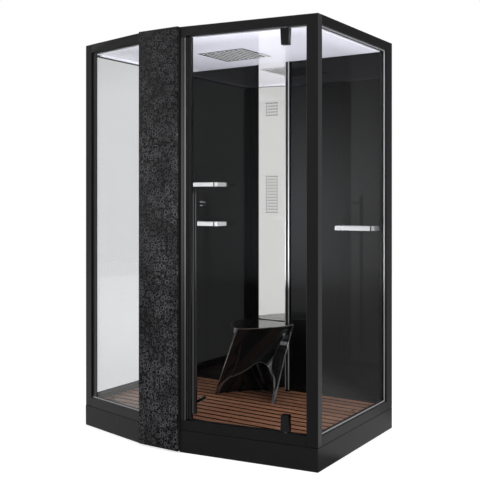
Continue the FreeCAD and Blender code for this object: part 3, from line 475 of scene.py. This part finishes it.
def head_plate():
    """Pale brushed plate of the rain head, with a dark collar round every nozzle."""
    tree = Shader("head_plate")
    line = tree.noise(tree.place((4.0, 500.0, 500.0)), scale=1.0, detail=3.0)
    plate = tree.blend(line, rgb(0.6, 0.6, 0.62), rgb(0.7, 0.7, 0.72))
    axes = tree.axes(tree.place())
    low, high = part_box("shower_head_face")
    away = []
    for axis, middle in (("X", (low.x + high.x) / 2), ("Y", (low.y + high.y) / 2)):
        cell = tree.math("ADD", tree.offset(axes[axis], middle, NOZZLE_PITCH), 0.5)
        away.append(tree.math("SUBTRACT", tree.math("FRACT", cell), 0.5))
    collar = tree.flip(tree.step(tree.length(*away), *COLLAR_EDGE))
    colour = tree.blend(collar, plate, rgb(0.012, 0.012, 0.014))
    return tree.surface(Base_Color=colour, Roughness=tree.span(line, 0.3, 0.42), Specular_IOR_Level=0.4)


# Sheets and mouldings

def gloss_sheet(tree, dark, pale, rough, wave, shine, **glow):
    """Smooth glossy sheet: a slow wave in the face and faint wiped marks in the gloss."""
    slow = tree.noise(tree.place(), scale=7.0, detail=2.0)
    wiped = tree.noise(tree.place((9.0, 9.0, 2.0)), scale=2.0, detail=6.0)
    return tree.surface(Base_Color=tree.blend(slow, dark, pale), Roughness=tree.span(wiped, *rough),
                        Normal=tree.bump(slow, strength=wave, distance=0.001),
                        Specular_IOR_Level=shine, **glow)


def wall_black():
    """Gloss black acrylic sheet; the right one glows with painted light beside the jets column."""
    tree = Shader("wall_black")
    axes = tree.axes(tree.place())
    aside = tree.offset(axes["X"], PAINTED_GLOW_PLACE[0], PAINTED_GLOW_REACH[0])
    above = tree.offset(axes["Z"], PAINTED_GLOW_PLACE[1], PAINTED_GLOW_REACH[1])
    near = tree.flip(tree.step(tree.length(aside, above), 0.0, 1.0))
    # painted light: the right panel glows beside the jets column
    painted_glow = tree.math("MULTIPLY", near, tree.math("GREATER_THAN", axes["X"], 0.0))
    return gloss_sheet(tree, dark=rgb(0.003, 0.0032, 0.0035), pale=rgb(0.0045, 0.0047, 0.005),
                       rough=(0.02, 0.05), wave=0.02, shine=0.2, Emission_Color=rgb(0.96, 0.97, 1.0),
                       Emission_Strength=tree.math("MULTIPLY", painted_glow, PAINTED_GLOW_LEVEL))


def apron_black():
    return gloss_sheet(Shader("apron_black"), dark=rgb(0.0125, 0.0125, 0.0132),
                       pale=rgb(0.016, 0.016, 0.0167), rough=(0.22, 0.3), wave=0.03, shine=0.13)


def tray_acrylic():
    return gloss_sheet(Shader("tray_acrylic"), dark=rgb(0.012, 0.012, 0.013),
                       pale=rgb(0.02, 0.02, 0.021), rough=(0.14, 0.22), wave=0.03, shine=0.5)


def stool_black():
    """Gloss black moulding whose edges carry a painted highlight, pale and metallic, over a wider band on
    its right side.
    """
    tree = Shader("stool_black")
    slow = tree.noise(tree.place(), scale=7.0, detail=2.0)
    fine = tree.noise(tree.place(), scale=45.0)
    body = tree.blend(slow, rgb(0.0052, 0.0055, 0.006), rgb(0.0068, 0.0072, 0.0078))
    right = tree.step(tree.axes(tree.place())["X"], *PAINTED_HIGHLIGHT_RIGHT)
    rounded = tree.node("Bevel", samples=PAINTED_HIGHLIGHT_SAMPLES)
    tree.feed(tree.span(right, *PAINTED_HIGHLIGHT_WIDTH), rounded.inputs["Radius"])
    turn = tree.flip(tree.dot(rounded.outputs[0], tree.node("NewGeometry").outputs["Normal"]))
    # painted highlight: edges are coloured pale and metallic where gloss would catch the light
    painted_highlight = tree.math("MULTIPLY", tree.step(turn, *PAINTED_HIGHLIGHT_TURN), tree.span(fine, 0.5, 1.0))
    colour = tree.blend(painted_highlight, body, rgb(0.8, 0.8, 0.82))
    return tree.surface(Base_Color=colour, Metallic=painted_highlight, Roughness=tree.span(painted_highlight, 0.06, 0.22),
                        Normal=tree.bump(slow, strength=0.04, distance=0.001), Specular_IOR_Level=0.32)


def ceiling_white():
    """Glossy white panel painted lavender for the tint of the strips' light, with a painted glow near its
    front and side edges.
    """
    tree = Shader("ceiling_white")
    place = tree.place()
    slow = tree.noise(place, scale=7.0, detail=2.0)
    # painted light: the lavender tint stands in for the colour of the strips' light on a white panel
    colour = tree.blend(slow, rgb(0.81, 0.8, 0.91), rgb(0.87, 0.86, 0.97))
    side = tree.math("SUBTRACT", CEILING_HALF, tree.math("ABSOLUTE", tree.axes(place)["X"]))
    front_edge = FRAME_DEPTH - DOOR_START.dot(DOOR_OUT)
    front = tree.math("SUBTRACT", tree.dot(place, (-DOOR_OUT.x, -DOOR_OUT.y, 0.0)), front_edge)
    # painted light: the panel glows near its front and side edges
    painted_glow_share = tree.flip(tree.step(tree.math("MINIMUM", side, front), 0.0, CEILING_PAINTED_GLOW_REACH))
    normal = tree.bump(slow, strength=0.02, distance=0.001)
    return tree.surface(Base_Color=colour, Roughness=tree.span(slow, 0.06, 0.11), Normal=normal,
                        Emission_Color=rgb(0.93, 0.92, 1.0),
                        Emission_Strength=tree.math("MULTIPLY", painted_glow_share, CEILING_PAINTED_GLOW))


def led_white():
    """Opal cover over a row of small lamps."""
    tree = Shader("led_white")
    cloud = tree.noise(tree.place(), scale=60.0, detail=2.0)
    colour = tree.blend(cloud, rgb(0.86, 0.86, 1.0), rgb(0.94, 0.94, 1.0))
    return tree.surface(Base_Color=rgb(0.9, 0.9, 0.95), Roughness=0.35, Emission_Color=colour,
                        Emission_Strength=LED_GLOW)


def moulded(name, dark, pale, rough):
    """Matt moulding or rubber with a fine skin grain."""
    tree = Shader(name)
    grain = tree.noise(tree.place(), scale=900.0, detail=3.0)
    drift = tree.noise(tree.place(), scale=12.0)
    return tree.surface(Base_Color=tree.blend(drift, dark, pale), Roughness=tree.span(grain, *rough),
                        Normal=tree.bump(grain, strength=0.25, distance=0.0004), Specular_IOR_Level=0.3)


def rubber_black():
    return moulded("rubber_black", dark=grey(0.012), pale=grey(0.022), rough=(0.6, 0.8))


def inner_black():
    return moulded("inner_black", dark=rgb(0.014, 0.014, 0.015), pale=rgb(0.024, 0.024, 0.026),
                   rough=(0.4, 0.55))


def drain_grey():
    return moulded("drain_grey", dark=rgb(0.4, 0.41, 0.42), pale=rgb(0.48, 0.49, 0.5), rough=(0.4, 0.55))


def seal_clear():
    return moulded("seal_clear", dark=rgb(0.1, 0.095, 0.09), pale=rgb(0.16, 0.15, 0.145), rough=(0.35, 0.5))


# Glass and wood

def pane_glass(name, gloss, tint, ends=0.0):
    """Tinted pane that mirrors more at a flat angle, and grows darker and greyer towards its bottom and top
    ends.
    """
    tree = Shader(name)
    flat = tree.math("POWER", tree.node("LayerWeight").outputs["Facing"], FLAT_POWER)
    mirrored = tree.math("MULTIPLY_ADD", flat, FLAT_GLOSS, gloss)
    film = tree.noise(tree.place(), scale=4.0)
    height = tree.axes(tree.place())["Z"]
    # the pane grows darker and greyer towards its bottom and top ends
    end = tree.math("MAXIMUM", tree.flip(tree.step(height, *DARKER_LOW)), tree.step(height, *DARKER_HIGH))
    dark, pale = [rgb(*(tint + part for part in tone)) for tone in PANE_TONES]
    clean = tree.blend(film, dark, pale)
    colour = tree.blend(tree.math("MULTIPLY", end, ends), clean, rgb(0.7, 0.705, 0.7))
    through = tree.shader("BsdfTransparent", Color=colour)
    mirror = tree.shader("BsdfGlossy", Roughness=tree.span(film, 0.0, 0.02))
    return tree.finish(tree.mix(mirrored, through, mirror))


def clear_glass():
    return pane_glass("clear_glass", gloss=0.003, tint=0.93)


def left_glass():
    return pane_glass("left_glass", gloss=0.003, tint=0.888)


def left_front_glass():
    return pane_glass("left_front_glass", gloss=0.07, tint=0.945, ends=0.3)


def right_glass():
    return pane_glass("right_glass", gloss=0.026, tint=0.925)


def bubble_rings(tree, scale, thin):
    """Ring in each cell of a scattered net: 1 on the line and 0 elsewhere."""
    axes = tree.axes(tree.place())
    flat = tree.node("CombineXYZ")
    tree.links.new(axes["X"], flat.inputs["X"])
    tree.links.new(axes["Z"], flat.inputs["Y"])
    cells = tree.node("TexVoronoi", voronoi_dimensions="2D")
    tree.links.new(flat.outputs[0], cells.inputs["Vector"])
    cells.inputs["Scale"].default_value = scale
    chance = tree.node("SeparateColor")
    tree.links.new(cells.outputs["Color"], chance.inputs[0])
    radius = tree.span(chance.outputs[0], *RING_RADIUS)
    away = tree.math("ABSOLUTE", tree.math("SUBTRACT", cells.outputs["Distance"], radius))
    return tree.flip(tree.step(away, thin / 2, thin))


def pattern_glass():
    """Black glass printed with a scatter of grey bubbles in two sizes, fainter to the left as painted
    shade, and fainter to the top.
    """
    tree = Shader("pattern_glass")
    large = bubble_rings(tree, scale=36.0, thin=0.05)
    small = bubble_rings(tree, scale=88.0, thin=0.1)
    rings = tree.math("MAXIMUM", large, tree.math("MULTIPLY", small, SMALL_RINGS))
    cloud = tree.step(tree.noise(tree.place(), scale=9.0, detail=3.0), *INK_CLOUD)
    ink = tree.blend(cloud, rgb(0.085, 0.083, 0.089), rgb(0.215, 0.211, 0.224))
    axes = tree.axes(tree.place())
    low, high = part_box("column_glass")
    right = tree.step(axes["X"], low.x, high.x)
    top = tree.step(axes["Z"], *INK_TOP)
    # painted shade: the print grows fainter to the left, as if less lit; it also grows fainter to the top
    strength = tree.math("MULTIPLY", tree.span(right, INK_SHADE_AND_FADE, 1.0), tree.span(top, 1.0, INK_SHADE_AND_FADE))
    colour = tree.blend(tree.math("MULTIPLY", rings, strength), rgb(0.004, 0.004, 0.0046), ink)
    return tree.surface(Base_Color=colour, Roughness=tree.span(rings, 0.16, 0.3), Specular_IOR_Level=0.06)


def teak():
    """Oiled slats: each its own tone, with grain along the slat, and painted shade along the edges beside
    the gaps.
    """
    tree = Shader("teak")
    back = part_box("deck_slats")[1].y
    row = tree.math("DIVIDE", tree.math("SUBTRACT", back, tree.axes(tree.place())["Y"]), SLAT_PITCH)
    tone = tree.node("TexWhiteNoise", noise_dimensions="1D")
    tree.links.new(tree.math("FLOOR", row), tone.inputs["W"])
    grain = tree.noise(tree.place((2.2, 75.0, 75.0)), scale=1.6, detail=6.0, roughness=0.62)
    pores = tree.noise(tree.place((14.0, 420.0, 420.0)), scale=1.0, detail=2.0)
    wood = tree.blend(grain, rgb(0.29, 0.108, 0.058), rgb(0.74, 0.37, 0.215))
    shade = tree.blend(tone.outputs["Value"], rgb(0.72, 0.7, 0.68), grey(1.0))
    from_middle = tree.math("ABSOLUTE", tree.math("SUBTRACT", tree.math("FRACT", row), SLAT_SHARE / 2))
    inset = tree.math("SUBTRACT", SLAT_SHARE / 2, from_middle)
    # painted shade: the slats darken along their edges, beside the gaps between them
    shade = tree.blend(tree.step(inset, 0.0, SLAT_PAINTED_SHADE), grey(0.03), shade)
    colour = tree.blend(1.0, wood, shade, way="MULTIPLY")
    normal = tree.bump(tree.math("ADD", grain, pores), strength=0.3, distance=0.0006)
    return tree.surface(Base_Color=colour, Roughness=tree.span(pores, 0.22, 0.34), Normal=normal,
                        Specular_IOR_Level=0.7)


# Finishes of the record's slots, and of nodes that differ from their slot
SLOT_FINISHES = (frame_black, bead_bright, base_steel, tray_acrylic, apron_black, clear_glass, wall_black,
                 mirror_steel, ceiling_white, led_white, chrome, steel, rubber_black, seal_clear, teak,
                 pattern_glass, inner_black, pipe_copper, valve_brass, drain_grey, stool_black,
                 handle_black)
NODE_FINISHES = {"shower_head_face": head_plate, "shelf_bands": shelf_satin, "glass_left": left_glass,
                 "glass_left_front": left_front_glass, "glass_right": right_glass,
                 "post_front_right": post_black, "panel_trims": trim_black}


def dress_nodes():
    """Give every CAD node its own finish, or that of its slot."""
    finishes = {make.__name__: make() for make in SLOT_FINISHES}
    for subpart in frame["record"]["subparts"]:
        name = subpart["node"]
        slot = subpart["material_slot"]
        finish = NODE_FINISHES[name]() if name in NODE_FINISHES else finishes[slot]
        node = frame["nodes"][name]
        node.data.materials.clear()
        node.data.materials.append(finish)
    return finishes


def soften(piece, width, sharpest=SHARP_TURN):
    """Take the sharpness off the edges where the faces turn by more than an angle."""
    weld = piece.modifiers.new("join_corners", "WELD")
    weld.merge_threshold = WELD_REACH
    bevel = piece.modifiers.new("soft_edges", "BEVEL")
    bevel.width = width
    bevel.segments = ROUND_STEPS
    bevel.limit_method = "ANGLE"
    bevel.angle_limit = sharpest
    bevel.harden_normals = True


def soften_nodes():
    for name in FRAME_NODES:
        soften(frame["nodes"][name], FRAME_ROUND)
    for name in POST_NODES:
        soften(frame["nodes"][name], POST_ROUND)
    soften(frame["nodes"]["stool"], STOOL_ROUND, STOOL_TURN)


# Pieces added to the frame

def add_strip(name, corners, height, finish):
    """Upright strip over a plan outline that runs anticlockwise, riding on the cabin."""
    count = len(corners)
    points = [(x, y, z) for z in height for x, y in corners]
    faces = [tuple(range(count))[::-1], tuple(range(count, 2 * count))]
    faces += [(i, (i + 1) % count, (i + 1) % count + count, i + count) for i in range(count)]
    mesh = bpy.data.meshes.new(name)
    mesh.from_pydata(points, [], faces)
    mesh.materials.append(finish)
    piece = bpy.data.objects.new(name, mesh)
    bpy.context.scene.collection.objects.link(piece)
    soften(piece, STRIP_ROUND)
    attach(piece, "cabin")


def on_door_front(run, out):
    """Plan point at a run along the door front from the column, and a depth out of its face."""
    return DOOR_START + DOOR_ALONG * run + DOOR_OUT * out


def add_front_strip(name, run, depth, height, finish):
    """Strip along the door front, from its start to its end and from its back to its face."""
    start, end = run
    back, face = depth
    corners = [on_door_front(start, face), on_door_front(end, face),
               on_door_front(end, back), on_door_front(start, back)]
    add_strip(name, corners, height, finish)


def add_strips(finishes):
    """Two strips on the door jamb, a seal beside its apron and a line in the jets column's right trim."""
    add_front_strip("jamb_band", JAMB_BAND_RUN, JAMB_DEPTH, JAMB_HEIGHT, strip_taupe())
    add_front_strip("jamb_line", JAMB_LINE_RUN, JAMB_DEPTH, JAMB_HEIGHT, strip_pale())
    rubber = finishes["rubber_black"]
    add_front_strip("apron_seal", SEAL_RUN, SEAL_DEPTH, SEAL_HEIGHT, rubber)
    low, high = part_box("panel_trims")
    left, right = [high.x - inset for inset in JETS_LINE_INSET]
    face = low.y - JETS_LINE_PROUD
    corners = [(left, low.y), (left, face), (right, face), (right, low.y)]
    add_strip("jets_line", corners, (low.z + JETS_LINE_RISE, high.z), line_satin())


# Studio

def seen_share(tree):
    """1 for rays that the eye follows, straight, mirrored or through glass, and 0 for the rest."""
    path = tree.node("LightPath").outputs
    mirrored = tree.math("MAXIMUM", path["Is Camera Ray"], path["Is Glossy Ray"])
    return tree.math("MAXIMUM", mirrored, path["Is Transmission Ray"])


def turn_of(tree, axes):
    """Angle round the cabin, from the front towards the right."""
    return tree.math("ARCTAN2", axes["X"], tree.math("MULTIPLY", axes["Y"], -1.0))


def past(tree, angle, limit):
    """1 past a limit and 0 before it, with a soft edge."""
    return tree.step(angle, limit - SECTOR_EDGE, limit + SECTOR_EDGE)


def front_sector(tree, turn):
    """1 in the unlit sector in front of the cabin and 0 outside it."""
    return tree.math("MULTIPLY", past(tree, turn, DARK_FROM), tree.flip(past(tree, turn, DARK_TO)))


def dimmed(tree, level, share, low):
    """A level that falls to a low part of itself where the share is 1."""
    return tree.math("MULTIPLY", level, tree.math("MULTIPLY_ADD", share, low - 1.0, 1.0))


def dimmed_right(tree, level, turn):
    """A level that falls on the right of the cabin, and further behind it on that side."""
    level = dimmed(tree, level, past(tree, turn, DARK_TO), RIGHT_LEVEL)
    return dimmed(tree, level, past(tree, turn, BEHIND_FROM), BEHIND_LEVEL)


def floor_material():
    """White floor that keeps the object's shadow; mirrors see it unlit in front and dim on the right."""
    tree = Shader("studio_floor")
    cloud = tree.noise(tree.place(), scale=0.8)
    matt = tree.shader("BsdfDiffuse", Color=tree.blend(cloud, grey(0.78), grey(0.8)))
    glow = tree.shader("Emission", Strength=tree.math("MULTIPLY", seen_share(tree), FLOOR_GLOW))
    seen = tree.node("AddShader")
    tree.links.new(matt, seen.inputs[0])
    tree.links.new(glow, seen.inputs[1])
    turn = turn_of(tree, tree.axes(tree.place()))
    level = dimmed(tree, 1.0, front_sector(tree, turn), FLOOR_DARK)
    mirrored = tree.shader("Emission", Strength=dimmed_right(tree, level, turn))
    return tree.finish(tree.mix(tree.node("LightPath").outputs["Is Glossy Ray"], seen.outputs[0], mirrored))


def add_floor():
    corners = [(-FLOOR_HALF, -FLOOR_HALF, 0), (FLOOR_HALF, -FLOOR_HALF, 0),
               (FLOOR_HALF, FLOOR_HALF, 0), (-FLOOR_HALF, FLOOR_HALF, 0)]
    mesh = bpy.data.meshes.new("studio_floor")
    mesh.from_pydata(corners, [], [(0, 1, 2, 3)])
    mesh.materials.append(floor_material())
    floor = bpy.data.objects.new("studio_floor", mesh)
    bpy.context.scene.collection.objects.link(floor)


def surroundings(tree):
    """White to the camera; gloss and glass see an unlit front, dim sides, a soft lamp and strip lamps."""
    direction = tree.node("TexCoord").outputs["Generated"]
    axes = tree.axes(direction)
    turn = turn_of(tree, axes)
    rise = tree.math("ARCSINE", axes["Z"])
    front = tree.math("MULTIPLY", front_sector(tree, turn), tree.flip(past(tree, rise, DARK_TOP)))
    high_right = tree.math("MULTIPLY", past(tree, turn, DARK_TO), tree.step(rise, *HIGH_RIGHT_RISE))
    level = dimmed(tree, 1.0, front, DARK_LEVEL)
    level = dimmed(tree, level, high_right, HIGH_RIGHT_LEVEL)
    level = dimmed_right(tree, level, turn)
    level = dimmed(tree, level, tree.flip(past(tree, turn, LEFT_TO)), LEFT_LEVEL)
    near_lamp = tree.step(tree.dot(direction, SOFT_LAMP_WAY), math.cos(SOFT_LAMP_REACH), 1.0)
    level = tree.math("MULTIPLY_ADD", near_lamp, SOFT_LAMP_LEVEL, level)
    upright = tree.math("LESS_THAN", tree.math("ABSOLUTE", rise), STRIP_LAMP_TOP)
    for middle, half, strength in STRIP_LAMPS:
        across = tree.math("LESS_THAN", tree.math("ABSOLUTE", tree.math("SUBTRACT", turn, middle)), half)
        level = tree.math("MULTIPLY_ADD", tree.math("MULTIPLY", across, upright), strength, level)
    return tree.math("MAXIMUM", tree.node("LightPath").outputs["Is Camera Ray"], level)


def add_world():
    """Surroundings for the rays that the eye follows, and a plain grey fill for the light itself."""
    world = bpy.data.worlds.new("studio")
    bpy.context.scene.world = world
    world.use_nodes = True
    tree = Nodes(world.node_tree)
    fill = tree.shader("Background", Color=grey(1.0), Strength=SKY_FILL)
    seen = tree.shader("Background", Color=grey(1.0), Strength=surroundings(tree))
    output = tree.node("OutputWorld")
    tree.links.new(tree.mix(seen_share(tree), fill, seen), output.inputs["Surface"])


def add_lamp(name, place, aim, size, power):
    light = bpy.data.lights.new(name, "AREA")
    light.shape = "SQUARE"
    light.size = size
    light.energy = power
    lamp = bpy.data.objects.new(name, light)
    bpy.context.scene.collection.objects.link(lamp)
    lamp.location = place
    lamp.rotation_euler = (Vector(aim) - Vector(place)).to_track_quat("-Z", "Y").to_euler()
    lamp.visible_glossy = False
    lamp.visible_camera = False


def add_camera():
    camera = bpy.data.cameras.new("camera")
    camera.lens = CAMERA_LENS
    camera.shift_y = CAMERA_SHIFT_Y
    eye = bpy.data.objects.new("camera", camera)
    bpy.context.scene.collection.objects.link(eye)
    eye.location = CAMERA_PLACE
    eye.rotation_euler = (math.pi / 2, 0.0, CAMERA_YAW)
    bpy.context.scene.camera = eye


bpy.context.scene.view_settings.view_transform = "Standard"
add_camera()
add_floor()
add_world()
for lamp in LAMPS:
    add_lamp(*lamp)
finishes = dress_nodes()
soften_nodes()
add_strips(finishes)
